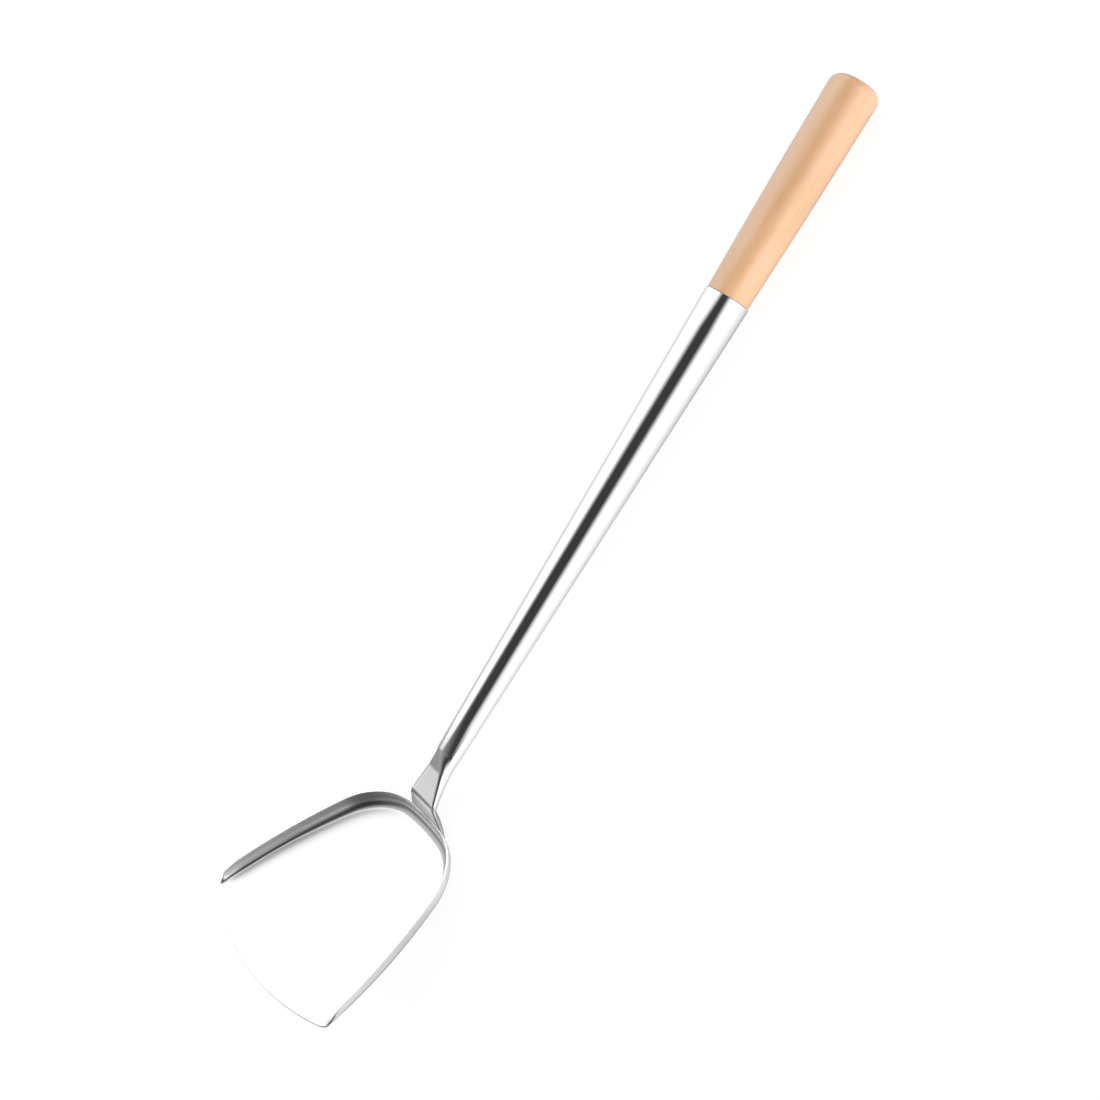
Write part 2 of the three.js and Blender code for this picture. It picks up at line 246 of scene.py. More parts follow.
def thicken(piece: Piece, sheet: float, edge_round: float, edge_angle: float, segments: int) -> None:
    """Gives a drawn face the sheet's thickness behind it and eases the cut edges.

    Args:
        piece: the drawn face, in millimetres.
        sheet: how thick it gets.
        edge_round: how wide an eased edge is.
        edge_angle: edges sharper than this are eased.
        segments: how many steps an eased edge has.
    """
    apply_modifier(piece, "SOLIDIFY", thickness=sheet, offset=-1.0, use_even_offset=True)
    ease_edges = {"width": edge_round, "segments": segments, "limit_method": "ANGLE", "angle_limit": edge_angle}
    apply_modifier(piece, "BEVEL", **ease_edges)


def lathe(name: str, profile: Iterable[Pair], steps: int, lay: Callable[..., Vector]) -> Piece:
    """Turns a profile into a solid, ring by ring, and closes both ends.

    Args:
        name: the new object's name.
        profile: radius and distance along the axis, one pair for each ring.
        steps: how many vertices each ring has.
        lay: places a point, given by two measures across the axis and one along it.

    Returns:
        The closed piece.
    """
    turns = [math.tau * i / steps for i in range(steps)]
    rings = [[lay(radius * math.cos(a), radius * math.sin(a), along) for a in turns] for radius, along in profile]
    piece = start_ring(name, rings[0])
    bpy.ops.mesh.edge_face_add()
    bpy.ops.mesh.select_all(action="SELECT")
    extrude_rings(piece, rings[1:])
    bpy.ops.mesh.edge_face_add()
    face_outwards()
    return piece


def settle(piece: Piece, place: Matrix, smooth_angle: float = math.radians(32)) -> None:
    """Moves a finished piece from its own frame in millimetres to the row frame, and shades it.

    Args:
        piece: the object, still in millimetres.
        place: the matrix from the piece's frame in metres to the row frame.
        smooth_angle: edges sharper than this stay sharp.
    """
    piece.matrix_world = place @ Matrix.Diagonal((MM, MM, MM, 1.0))
    select_only(piece)
    bpy.ops.object.transform_apply(location=True, rotation=True, scale=True)
    bpy.ops.object.shade_smooth_by_angle(angle=smooth_angle)


# Sizes, in millimetres in the blade's own frame: floor in the XY plane, +X to the front edge, +Z up


@dataclass(frozen=True)
class ScoopSizes:
    """The blade's plan, sheet and turned-up rim.

    Crease and heel carry the neck's line, as in the CAD, while the rim turns up over the larger fillets. The faces
    keep the rim's outer side where the CAD has it, and slack keeps the smooth heel inside the CAD's box.
    """

    sheet: float = 1.2
    length: float = 84.8
    front_width: float = 105.9
    front_bow: float = 12.0
    front_corner: float = 8.0
    rear_width: float = 62.6
    rear_bow: float = 4.0
    side_bow: float = 3.4
    corner_length: float = 19.1
    rim_rear: float = 7.7
    rim_front: float = 5.3
    lean_rear: float = math.radians(4)
    lean_front: float = math.radians(1)
    taper_start: float = 10.0
    crease: float = 3.4
    heel: float = 3.3
    fillet_rear: float = 4.4
    fillet_front: float = 2.7
    fillet_taper: float = 0.5
    face_rear: float = 1.1
    face_front: float = -0.9
    rim_start_share: float = 0.4
    rim_rise: float = 14.0
    rim_rise_power: float = 0.65
    lip_share: float = 1.2
    neck_half: float = 13.0
    neck_blend: float = 3.5
    neck_tuck: float = 0.15
    edge_round: float = 0.5
    edge_angle: float = math.radians(50)
    floor_inset: float = 1.5
    slack: float = 0.08


@dataclass(frozen=True)
class HandleSizes:
    """The neck, its dished facet and the rolled tube."""

    sheet: float = 1.0
    neck_rise: float = 18.4
    neck_setback: float = 1.6
    neck_width: float = 19.3
    foot_width: float = 28.5
    foot_depth: float = 1.3
    foot_tuck: float = 0.6
    bend_radius: float = 6.5
    pitch: float = math.radians(32.2)
    facet_length: float = 26.1
    facet_drop: float = -0.12
    lip_gap: float = 9.2
    lip_depth: float = 5.3
    tube_length: float = 260.4
    neck_diameter: float = 11.5
    mouth_diameter: float = 21.2
    seam_gap: float = 0.25
    outline_share: float = 0.66
    opening_share: float = 2.0
    flare_share: float = 1.15
    ridge_round: float = 1.3
    facet_sag: float = 0.7
    facet_knee: float = 0.4
    edge_round: float = 0.2
    edge_angle: float = math.radians(55)


@dataclass(frozen=True)
class GripSizes:
    """The turned wooden grip and its nail."""

    length: float = 106.0
    start_diameter: float = 20.3
    end_diameter: float = 23.7
    swell: float = 0.25
    end_round: float = 4.5
    dome: float = 1.2
    shoulder_round: float = 0.5
    joint: float = 0.12
    spigot: float = 42.0
    spigot_slack: float = 0.3
    spigot_chamfer: float = 1.5
    nail_setback: float = 14.0
    nail_roll: float = math.radians(48)
    nail_head: float = 4.6
    nail_height: float = 1.0
    nail_edge: float = 0.15
    nail_gap: float = 0.05
    nail_shank: float = 1.8
    nail_depth: float = 12.0
    nail_point: float = 2.4
    nail_tip_share: float = 0.15
    slack: float = 0.04


SCOOP = ScoopSizes()
HANDLE = HandleSizes()
GRIP = GripSizes()

# How far the scoop_floor mount stands along the floor from the blade's own origin
MOUNT_ALONG = 45.0

# Edges sharper than this stay sharp on turned pieces
TURNED_SMOOTH = math.radians(40)


class Place:
    """Where the blade's frame and the handle's frame lie in the row frame."""

    def __init__(self, record: dict[str, Any]) -> None:
        """Reads the floor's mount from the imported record.

        Args:
            record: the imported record.
        """
        mount = next(m for m in record["mounts"] if m["name"] == "scoop_floor")
        axis = mount["axis"]
        turn = Matrix.Rotation(math.atan2(axis[0], axis[2]), 4, "Y")
        origin = Vector(mount["pos_m"]) - turn @ Vector((MOUNT_ALONG * MM, 0.0, 0.0))
        self.blade: Matrix = Matrix.Translation(origin) @ turn

    def handle(self, start: Vector) -> Matrix:
        """Returns the matrix of the handle's frame, whose -X runs up the tube's axis from start."""
        return self.blade @ Matrix.Translation(start * MM) @ Matrix.Rotation(HANDLE.pitch, 4, "Y")


class NeckLine:
    """The side view of neck and handle: wall, bend, facet and axis, as in the CAD."""

    def __init__(self) -> None:
        """Works out the angles and points from the sizes."""
        self.bend = Vector((-SCOOP.rear_bow - HANDLE.neck_setback, 0.0, HANDLE.neck_rise))
        self.heel = Vector((SCOOP.crease - SCOOP.rear_bow, 0.0, SCOOP.heel))
        gap = self.bend - self.heel
        self.wall_angle = math.atan2(gap.z, gap.x) - math.asin(SCOOP.heel / gap.length)
        self.wall_length = math.sqrt(gap.length_squared - SCOOP.heel ** 2)
        self.axis_angle = math.pi - HANDLE.pitch
        self.axis = heading(self.axis_angle)
        self.above = heading(self.axis_angle - math.pi / 2)
        self.start = self.bend - self.above * HANDLE.facet_drop
        rise = self.tube_radius(HANDLE.facet_length) - HANDLE.facet_drop
        self.facet_angle = self.axis_angle - math.atan2(rise, HANDLE.facet_length)
        self.setback = HANDLE.bend_radius * math.tan((self.facet_angle - self.wall_angle) / 2)
        self.joint = self.setback * math.cos(self.axis_angle - self.facet_angle)

    @staticmethod
    def tube_radius(along: float) -> float:
        """Returns the tube's outer radius at a distance up from the bend."""
        return lerp(HANDLE.neck_diameter, HANDLE.mouth_diameter, along / HANDLE.tube_length) / 2


LINE = NeckLine()


# Finishes


class Surface(Enum):
    """How a steel face was finished, by the scale of its fine scratches along X, Y and Z.

    The blade's strokes run from rear to front, the tube's run far down its length, and drawn wire has none that show.
    """

    STAMPED = (1.0, 14.0, 1.0)
    ROLLED = (0.06, 1.0, 1.0)
    WIRE = (1.0, 1.0, 1.0)


@dataclass(frozen=True)
class BrushMarksAndShade:
    """What the blade's surface gets, by height over its floor and by distance along the row frame's X.

    The floor keeps brush marks. The inside of the turned edge is painted darker grey along its crease, painted shade
    that weakens towards the front, and the front edge's cut face carries a thin painted shade line of darker grey.
    The floor's plane is given in the row frame, by normal and offset.
    """

    # Painted shade colours: darker grey in the crease of the turned edge and along the front edge's cut face
    crease_shade_colour: str = "9A9A9A"
    cut_shade_colour: str = "6A6A6A"
    floor_roughness: float = 0.37
    floor_normal: Triple = (-0.539513, 0.0, 0.841977)
    floor_offset: float = 0.07894
    floor_end_mm: Pair = (0.01, 0.1)
    crease_shade_start_mm: Pair = (0.02, 0.22)
    crease_shade_end_mm: Pair = (2.8, 1.4)
    cut_shade_middle_mm: float = -0.56
    cut_shade_half_mm: float = 0.5
    corner_mm: Pair = (208.0, 218.0)
    corner_share: float = 0.3

    def apply(self, tree: Tree, where: Socket, colour: Socket, roughness: float) -> tuple[Socket, Socket]:
        """Adds the floor's brush marks and the painted shades to a steel.

        Args:
            tree: the material's node tree.
            where: Object coordinates.
            colour: the steel's own colour.
            roughness: its roughness off the floor.

        Returns:
            Colour and roughness.
        """
        across = add_node(tree, "ShaderNodeVectorMath", {0: where, 1: self.floor_normal}, operation="DOT_PRODUCT")
        height = add_node(tree, "ShaderNodeMath", {
            0: across.outputs["Value"],
            1: self.floor_offset,
        }, operation="ADD").outputs["Value"]
        rise, below, above = [
            add_node(tree, "ShaderNodeMapRange", {
                "Value": height,
                "From Min": start * MM,
                "From Max": end * MM,
            }, interpolation_type="SMOOTHSTEP").outputs["Result"]
            for start, end in (self.floor_end_mm, self.crease_shade_start_mm, self.crease_shade_end_mm)
        ]
        corner = add_node(tree, "ShaderNodeMapRange", {
            "Value": add_node(tree, "ShaderNodeSeparateXYZ", {"Vector": where}).outputs["X"],
            "From Min": self.corner_mm[0] * MM,
            "From Max": self.corner_mm[1] * MM,
            "To Min": 1.0,
            "To Max": self.corner_share,
        }, interpolation_type="SMOOTHSTEP").outputs["Result"]
        # Painted shade: the crease inside the turned edge turns darker grey, less so towards the front
        inner = add_node(tree, "ShaderNodeMath", {0: below, 1: above}, operation="MULTIPLY").outputs["Value"]
        crease_shade = add_node(tree, "ShaderNodeMath", {0: inner, 1: corner}, operation="MULTIPLY").outputs["Value"]
        tone = add_node(tree, "ShaderNodeMix", {
            0: crease_shade,
            6: colour,
            7: linear(self.crease_shade_colour),
        }, data_type="RGBA").outputs[2]
        # Painted shade: a thin darker grey line on the front edge's cut face, towards the front
        front = add_node(tree, "ShaderNodeMath", {0: 1.0, 1: corner}, operation="SUBTRACT").outputs["Value"]
        edge = add_node(tree, "ShaderNodeMath", {
            0: height,
            1: self.cut_shade_middle_mm * MM,
            2: self.cut_shade_half_mm * MM,
        }, operation="COMPARE").outputs["Value"]
        cut = add_node(tree, "ShaderNodeMath", {0: front, 1: edge}, operation="MULTIPLY").outputs["Value"]
        tone = add_node(tree, "ShaderNodeMix", {
            0: cut,
            6: tone,
            7: linear(self.cut_shade_colour),
        }, data_type="RGBA").outputs[2]
        rough = add_node(tree, "ShaderNodeMix", {
            0: rise,
            2: self.floor_roughness,
            3: roughness,
        }, data_type="FLOAT").outputs[0]
        return tone, rough


@dataclass(frozen=True)
class PolishedSteel:
    """Buffed 18/8 stainless steel: a bright, nearly neutral mirror, with the buffing wheel's faint hairlines.

    Blade and neck keep a satin that blurs what they mirror, and the tube behind the bend is polished further. The
    neck's
    shade colour is painted shade: set darker on the tube, it darkens the neck's wall and foot ahead of the bend. Real
    hairlines are finer than the render's pixels, so they are drawn a quarter of a millimetre wide.
    """

    surface: Surface
    name: str
    colour: str = "E7E7E6"
    neck_shade_colour: str = "E7E7E6"
    roughness: float = 0.3
    far_roughness: float = 0.2
    bend_mm: Pair = (131.0, 138.0)
    tone: BrushMarksAndShade | None = None
    hairline_mm: float = 0.25
    hairline_detail: float = 3.0
    hairline_depth: float = 0.02
    hairline_spread: float = 0.15
    wave_mm: float = 18.0
    wave_detail: float = 1.0
    wave_depth: float = 0.02
    wave_height_mm: float = 1.8

    def material(self) -> bpy.types.Material:
        """Builds the material.

        Returns:
            A metal whose roughness and bump come from stretched noise in Object coordinates.
        """
        made = bpy.data.materials.new(self.name)
        tree = empty_tree(made)
        where = add_node(tree, "ShaderNodeTexCoord").outputs["Object"]
        laid = add_node(tree, "ShaderNodeMapping", {"Vector": where, "Scale": self.surface.value}).outputs["Vector"]
        hair = add_node(tree, "ShaderNodeTexNoise", {
            "Vector": laid,
            "Scale": 1 / (self.hairline_mm * MM),
            "Detail": self.hairline_detail,
        }).outputs["Fac"]
        wave = add_node(tree, "ShaderNodeTexNoise", {
            "Vector": where,
            "Scale": 1 / (self.wave_mm * MM),
            "Detail": self.wave_detail,
        }).outputs["Fac"]
        share = add_node(tree, "ShaderNodeMapRange", {
            "Value": add_node(tree, "ShaderNodeSeparateXYZ", {"Vector": where}).outputs["X"],
            "From Min": self.bend_mm[0] * MM,
            "From Max": self.bend_mm[1] * MM,
        }, interpolation_type="SMOOTHSTEP").outputs["Result"]
        # Painted shade: ahead of the bend the colour turns to the neck's shade colour, darker on the tube
        colour = add_node(tree, "ShaderNodeMix", {
            0: share,
            6: linear(self.colour),
            7: linear(self.neck_shade_colour),
        }, data_type="RGBA").outputs[2]
        rough = add_node(tree, "ShaderNodeMix", {
            0: share,
            2: self.far_roughness,
            3: self.roughness,
        }, data_type="FLOAT").outputs[0]
        if self.tone:
            colour, rough = self.tone.apply(tree, where, colour, self.roughness)
        spread = add_node(tree, "ShaderNodeMapRange", {
            "Value": hair,
            "To Min": 1 - self.hairline_spread,
            "To Max": 1 + self.hairline_spread,
        }).outputs["Result"]
        fine = add_node(tree, "ShaderNodeBump", {
            "Height": hair,
            "Strength": self.hairline_depth,
            "Distance": self.hairline_mm * MM,
        }).outputs["Normal"]
        broad = add_node(tree, "ShaderNodeBump", {
            "Height": wave,
            "Strength": self.wave_depth,
            "Distance": self.wave_height_mm * MM,
            "Normal": fine,
        }).outputs["Normal"]
        shader = add_node(tree, "ShaderNodeBsdfPrincipled", {
            "Base Color": colour,
            "Metallic": 1.0,
            "Roughness": add_node(tree, "ShaderNodeMath", {0: rough, 1: spread}, operation="MULTIPLY").outputs["Value"],
            "Normal": broad,
        })
        add_node(tree, "ShaderNodeOutputMaterial", {"Surface": shader.outputs["BSDF"]})
        return made


@dataclass(frozen=True)
class TurnedWood:
    """Sanded pale hardwood under a thin clear lacquer: faint streaks, pinkish patches, a soft sheen at both sides."""

    name: str = "sanded_pale_hardwood"
    light: str = "E1B58A"
    middle: str = "D5A776"
    dark: str = "C79866"
    light_level: float = 0.72
    middle_level: float = 0.5
    dark_level: float = 0.3
    roughness: float = 0.4
    roughness_range: Pair = (0.9, 1.15)
    ior: float = 1.5
    gloss: float = 0.9
    lacquer: float = 1.0
    lacquer_ior: float = 1.7
    end_shade_colour: str = "A98A63"
    end_shade_mm: Pair = (-228.4, -229.8)
    blush: str = "DDA788"
    blush_mm: float = 6.0
    blush_detail: float = 2.0
    blush_level: Pair = (0.4, 0.7)
    blush_share: float = 0.6
    grain_detail: float = 3.0
    streak_mm: float = 1.1
    streak_stretch: float = 0.03
    streak_share: float = 0.22
    streak_depth: float = 0.06
    streak_height_mm: float = 0.22
    band_mm: float = 14.0
    band_stretch: float = 0.25

    def material(self) -> bpy.types.Material:
        """Builds the material.

        Returns:
            A wood whose streaks run along Object X, with broad colour bands, patches and painted shade on the end face.
        """
        made = bpy.data.materials.new(self.name)
        tree = empty_tree(made)
        where = add_node(tree, "ShaderNodeTexCoord").outputs["Object"]
        laid, wide = [
            add_node(tree, "ShaderNodeMapping", {"Vector": where, "Scale": (stretch, 1.0, 1.0)}).outputs["Vector"]
            for stretch in (self.streak_stretch, self.band_stretch)
        ]
        streak, band, spots = [
            add_node(tree, "ShaderNodeTexNoise", {
                "Vector": vector,
                "Scale": 1 / (size * MM),
                "Detail": detail,
            }).outputs["Fac"]
            for vector, size, detail in (
                (laid, self.streak_mm, self.grain_detail),
                (wide, self.band_mm, self.grain_detail),
                (wide, self.blush_mm, self.blush_detail),
            )
        ]
        grain = add_node(tree, "ShaderNodeMix", {0: self.streak_share, 2: band, 3: streak}, data_type="FLOAT")
        colours = add_node(tree, "ShaderNodeValToRGB", {"Fac": grain.outputs[0]})
        stops = colours.color_ramp.elements
        stops[0].position, stops[0].color = self.dark_level, linear(self.dark)
        stops[1].position, stops[1].color = self.light_level, linear(self.light)
        stops.new(self.middle_level).color = linear(self.middle)
        patch = add_node(tree, "ShaderNodeMapRange", {
            "Value": spots,
            "From Min": self.blush_level[0],
            "From Max": self.blush_level[1],
            "To Max": self.blush_share,
        }).outputs["Result"]
        tone = add_node(tree, "ShaderNodeMix", {
            0: patch,
            6: colours.outputs["Color"],
            7: linear(self.blush),
        }, data_type="RGBA").outputs[2]
        # Painted shade: the last of the domed end turns darker brown
        end = add_node(tree, "ShaderNodeMapRange", {
            "Value": add_node(tree, "ShaderNodeSeparateXYZ", {"Vector": where}).outputs["X"],
            "From Min": self.end_shade_mm[0] * MM,
            "From Max": self.end_shade_mm[1] * MM,
        }, interpolation_type="SMOOTHSTEP").outputs["Result"]
        tone = add_node(tree, "ShaderNodeMix", {
            0: end,
            6: tone,
            7: linear(self.end_shade_colour),
        }, data_type="RGBA").outputs[2]
        rough = add_node(tree, "ShaderNodeMapRange", {
            "Value": streak,
            "To Min": self.roughness * self.roughness_range[0],
            "To Max": self.roughness * self.roughness_range[1],
        }).outputs["Result"]
        relief = add_node(tree, "ShaderNodeBump", {
            "Height": streak,
            "Strength": self.streak_depth,
            "Distance": self.streak_height_mm * MM,
        }).outputs["Normal"]
        shader = add_node(tree, "ShaderNodeBsdfPrincipled", {
            "Base Color": tone,
            "Roughness": rough,
            "IOR": self.ior,
            "Specular IOR Level": self.gloss,
            "Coat Weight": self.lacquer,
            "Coat Roughness": self.roughness,
            "Coat IOR": self.lacquer_ior,
            "Normal": relief,
        })
        add_node(tree, "ShaderNodeOutputMaterial", {"Surface": shader.outputs["BSDF"]})
        return made


class Fitting:
    """A sub-assembly, which takes its finish and its place in the frame once it is built."""

    @staticmethod
    def dress(piece: Piece, material: bpy.types.Material, node: str, slot: str) -> None:
        """Gives a piece its finish and its place in the frame.

        Args:
            piece: the finished piece.
            material: its finish.
            node: the CAD node that it stands for.
            slot: the record's material slot; not used.
        """
        piece.data.materials.append(material)
        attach(piece, "root")
        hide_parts(node)
        LOG.info("%s: %d faces, for %s", piece.name, len(piece.data.polygons), node)


# Scoop


@dataclass
class Column:
    """One place on the blade's outline: where it is, which way is outward, and how far the rim stands there."""

    point: Vector
    outward: Vector
    rim: float


@dataclass
class StampedScoop(Fitting):
    """The blade: a flat floor whose edge turns up into the rim and lies flat along the bowed front."""

    sizes: ScoopSizes = SCOOP
    fillet_steps: int = 9
    wall_steps: int = 5
    front_steps: int = 36
    front_corner_steps: int = 16
    side_steps: int = 34
    corner_steps: int = 26
    rear_steps: int = 16
    columns: list[Column] = field(default_factory=list)

    def side_point(self, share: float) -> Vector:
        """Finds a point on the right side.

        Args:
            share: how far forward it is, 0 at the rear and 1 at the front corner.

        Returns:
            The point in plan.
        """
        s = self.sizes
        across = lerp(s.rear_width, s.front_width, share) / 2 + 4 * s.side_bow * share * (1 - share)
        return Vector((share * s.length, -across))

    def rear_point(self, share: float) -> Vector:
        """Returns a point on the rear edge, from the right at share -1 to the left at 1."""
        s = self.sizes
        return Vector((-s.rear_bow * (1 - share * share), share * s.rear_width / 2))

    def corner_points(self) -> list[Vector]:
        """Works out the rear right corner, a conic on the tangents of side and rear.

        Returns:
            Its points in plan, without its two ends.
        """
        s = self.sizes
        half_front, half_rear = s.front_width / 2, s.rear_width / 2
        side_share = s.corner_length / s.length
        rear_share = s.corner_length / half_rear - 1
        start, end = self.side_point(side_share), self.rear_point(rear_share)
        side_slope = (half_rear - half_front - 4 * s.side_bow * (1 - 2 * side_share)) / s.length
        rear_slope = 2 * s.rear_bow * rear_share / half_rear
        along = Vector((-1.0, -side_slope)).normalized()
        back = Vector((-rear_slope, -1.0)).normalized()
        gap = end - start
        reach = (gap.x * back.y - gap.y * back.x) / (along.x * back.y - along.y * back.x)
        tip = start + along * reach
        weight = math.cos(math.acos(-along.dot(back)) / 2)
        points = []
        for i in range(1, self.corner_steps):
            t = i / self.corner_steps
            p, q, r = (1 - t) ** 2, 2 * weight * t * (1 - t), t * t
            points.append((start * p + tip * q + end * r) / (p + q + r))
        return points

    def front_half(self) -> list[Vector]:
        """Works out the right half of the front.

        Returns:
            Points in plan, along the bowed edge and then round the corner.
        """
        s = self.sizes
        half = s.front_width / 2
        radius = (half * half + s.front_bow ** 2) / (2 * s.front_bow)
        centre = s.length + s.front_bow - radius
        side = Vector((1.0, (half - s.rear_width / 2 - 4 * s.side_bow) / s.length)).normalized()
        outward = Vector((-side.y, side.x))
        start = Vector((s.length - centre, half)) + outward * (s.face_front - s.front_corner)
        within = radius - s.front_corner
        along = start.dot(side)
        corner = start + side * (math.sqrt(along * along - start.length_squared + within * within) - along)
        turn = math.atan2(corner.y, corner.x)
        last = math.atan2(outward.y, outward.x)

        def place(middle: Vector, reach: float, angle: float) -> Vector:
            """Returns a point of the outline on an arc, at an angle from +X towards the right side."""
            return middle + Vector((math.cos(angle), -math.sin(angle))) * (reach - s.face_front)

        places = [place(Vector((centre, 0.0)), radius, turn * i / self.front_steps) for i in range(self.front_steps)]
        middle = Vector((centre + corner.x, -corner.y))
        corner_shares = shares(self.front_corner_steps, 0)
        return places + [place(middle, s.front_corner, lerp(turn, last, share)) for share in corner_shares]

    def outline(self) -> list[tuple[Vector, float]]:
        """Lays out the closed outline, from the front's middle round by the right side.

        Returns:
            Each point in plan, with the rim's share of its full height there.
        """
        s = self.sizes
        half = self.front_half()
        first = half[-1].x / s.length
        last = s.corner_length / s.length
        turned = [self.side_point(lerp(first, last, share)) for share in shares(self.side_steps)]
        turned += self.corner_points()
        edge = 1 - s.corner_length / (s.rear_width / 2)
        turned += [self.rear_point(lerp(-edge, 0.0, share)) for share in shares(self.rear_steps, 0)]
        places = list(zip(half + turned, self.rims(half + turned)))
        return places + [(Vector((p.x, -p.y)), rim) for p, rim in reversed(places[1:-1])]

    def rims(self, half: Sequence[Vector]) -> list[float]:
        """Works out how far the rim stands up: not at all at the front, then with a rounded rise.

        Args:
            half: the right half of the outline, from the front's middle to the rear's.

        Returns:
            The rim's share of its full height at each point.
        """
        s = self.sizes
        start = self.front_steps + round(self.front_corner_steps * s.rim_start_share)
        travel, made = 0.0, []
        for i, point in enumerate(half):
            travel += (point - half[i - 1]).length if i > start else 0.0
            made.append(ease(clamp(travel / s.rim_rise) ** s.rim_rise_power))
        return made

    def set_columns(self) -> None:
        """Finds the outward direction and the rim's share at each point of the outline."""
        s = self.sizes
        places = self.outline()
        count = len(places)
        for i, (point, rim) in enumerate(places):
            step = places[(i + 1) % count][0] - places[i - 1][0]
            outward = Vector((step.y, -step.x)).normalized()
            if outward.dot(point - Vector((s.length / 2, 0.0))) < 0:
                outward.negate()
            self.columns.append(Column(point, outward, rim))

    def taper(self, column: Column) -> float:
        """Returns how far forward a column is: 0 up to the taper's start and 1 at the front corners."""
        s = self.sizes
        return clamp((column.point.x - s.taper_start) / (s.length - s.taper_start))

    def fillet(self, column: Column) -> float:
        """Returns the inner radius of the turn from floor to rim."""
        s = self.sizes
        return lerp(s.fillet_rear, s.fillet_front, clamp(self.taper(column) / s.fillet_taper))

    def crease(self, column: Column) -> float:
        """Returns how far inside the outline the floor starts to turn up, so that the rim's outer face stays put."""
        s = self.sizes
        return self.fillet(column) + s.sheet - lerp(s.face_rear, s.face_front, self.taper(column))

    def profile(self, column: Column) -> list[Pair]:
        """Works out the sheet's upper face across the edge at one column.

        Args:
            column: the place on the outline.

        Returns:
            Outward and up, from the floor's crease to the rim's inner top or the flat edge.
        """
        s = self.sizes
        x, y = column.point
        share = self.taper(column)
        fillet = self.fillet(column)
        lean = lerp(s.lean_rear, s.lean_front, share)
        behind = ease((s.neck_half + s.neck_blend - abs(y)) / s.neck_blend) if x < 0 else 0.0
        lean = lerp(lean, LINE.wall_angle - math.pi / 2, behind)
        height = lerp(s.rim_rear, s.rim_front, share)
        outer = fillet + s.sheet
        crease = self.crease(column)
        foot = Vector((outer * math.cos(lean) - crease, fillet - outer * math.sin(lean)))
        climb = Vector((math.sin(lean), math.cos(lean)))
        rim_top = foot + climb * ((height - foot.y) / climb.y) - Vector((climb.y, -climb.x)) * s.sheet
        rim_top.x += s.neck_tuck * behind
        touch = Vector((fillet * math.cos(lean) - crease, fillet - fillet * math.sin(lean)))
        angles = [lerp(-math.pi / 2, -lean, part) for part in shares(self.fillet_steps)]
        bent = [(fillet * math.cos(a) - crease, fillet + fillet * math.sin(a)) for a in angles]
        bent += [tuple(touch.lerp(rim_top, part)) for part in shares(self.wall_steps)]
        made = []
        lip = s.face_front - s.sheet * min(1.0, s.lip_share * column.rim)
        for i, (out, up) in enumerate(bent):
            flat = lerp(-crease, lip, (i + 1) / len(bent))
            made.append((lerp(flat, out, column.rim), up * column.rim))
        return made

    def ring(self, step: int, profiles: Sequence[Sequence[Pair]]) -> list[Vector]:
        """Lays one step of every column's profile in space.

        Args:
            step: which step of the profiles, or -1 for the floor's crease.
            profiles: the profile of each column.

        Returns:
            The closed ring of points.
        """
        points = []
        for column, profile in zip(self.columns, profiles):
            out, up = profile[step] if step >= 0 else (-self.crease(column), 0.0)
            flat = column.point + column.outward * out
            points.append(Vector((flat.x, flat.y, up)))
        return points

    def build(self, place: Place) -> Piece:
        """Models the blade: floor, turned edge, sheet thickness and eased edges.

        Args:
            place: where the blade lies.

        Returns:
            The finished piece.
        """
        s = self.sizes
        self.set_columns()
        profiles = [self.profile(c) for c in self.columns]
        piece = start_ring("stamped_scoop", self.ring(-1, profiles))
        extrude_rings(piece, [self.ring(i, profiles) for i in range(len(profiles[0]))])
        pick(piece, range(len(self.columns)))
        bpy.ops.mesh.edge_face_add()
        bpy.ops.mesh.inset(thickness=s.floor_inset)
        face_outwards()
        if piece.data.polygons[-1].normal.z < 0:
            piece.data.flip_normals()
        thicken(piece, s.sheet - s.slack, s.edge_round, s.edge_angle, 3)
        settle(piece, place.blade)
        return piece


# Handle

# Offsets and weights of a bell curve that rounds the section's folds, in spreads, and how far it needs room
BELL = [(k / 3, math.exp(-(k / 3) ** 2 / 2)) for k in range(-7, 8)]
BELL_REACH = 2.4


@dataclass(frozen=True)
class Station:
    """A section of the rolled sheet: flat top out to the ridge, then a flank curled in to a lip."""

    ridge: float
    top: float
    lip: float
    bottom: float

    def half(self, count: int, rounding: float) -> list[Pair]:
        """Works out the right half of the section, with the fold at the ridge rounded.

        Args:
            count: how many steps from the middle of the top to the lip.
            rounding: how far the fold's rounding spreads, in millimetres.

        Returns:
            Across and up for each step.
        """
        start = 2 * math.atan2(self.ridge - self.lip, self.top - self.bottom)
        radius = (self.top - self.bottom) / (1 + math.cos(start))
        arc = radius * (math.pi - start)
        whole = self.ridge + arc

        def at(along: float) -> Pair:
            """Finds a place on the section as it is before its folds are rounded.

            Args:
                along: how far it is from the middle of the top, measured on the sheet.

            Returns:
                Across and up, on the right side.
            """
            along = abs(along)
            if along < self.ridge:
                return along, self.top
            angle = start + (along - self.ridge) / radius
            return self.lip + radius * math.sin(angle), self.bottom + radius + radius * math.cos(angle)

        made = []
        weight = sum(share for _, share in BELL)
        for i in range(count + 1):
            along = whole * i / count
            spread = min(rounding, (whole - along) / BELL_REACH)
            across = up = 0.0
            for offset, share in BELL:
                place = along + offset * spread
                side = -1.0 if place < 0 else 1.0
                y, q = at(place)
                across += side * y * share
                up += q * share
            made.append((across / weight if i else 0.0, up / weight))
        return made


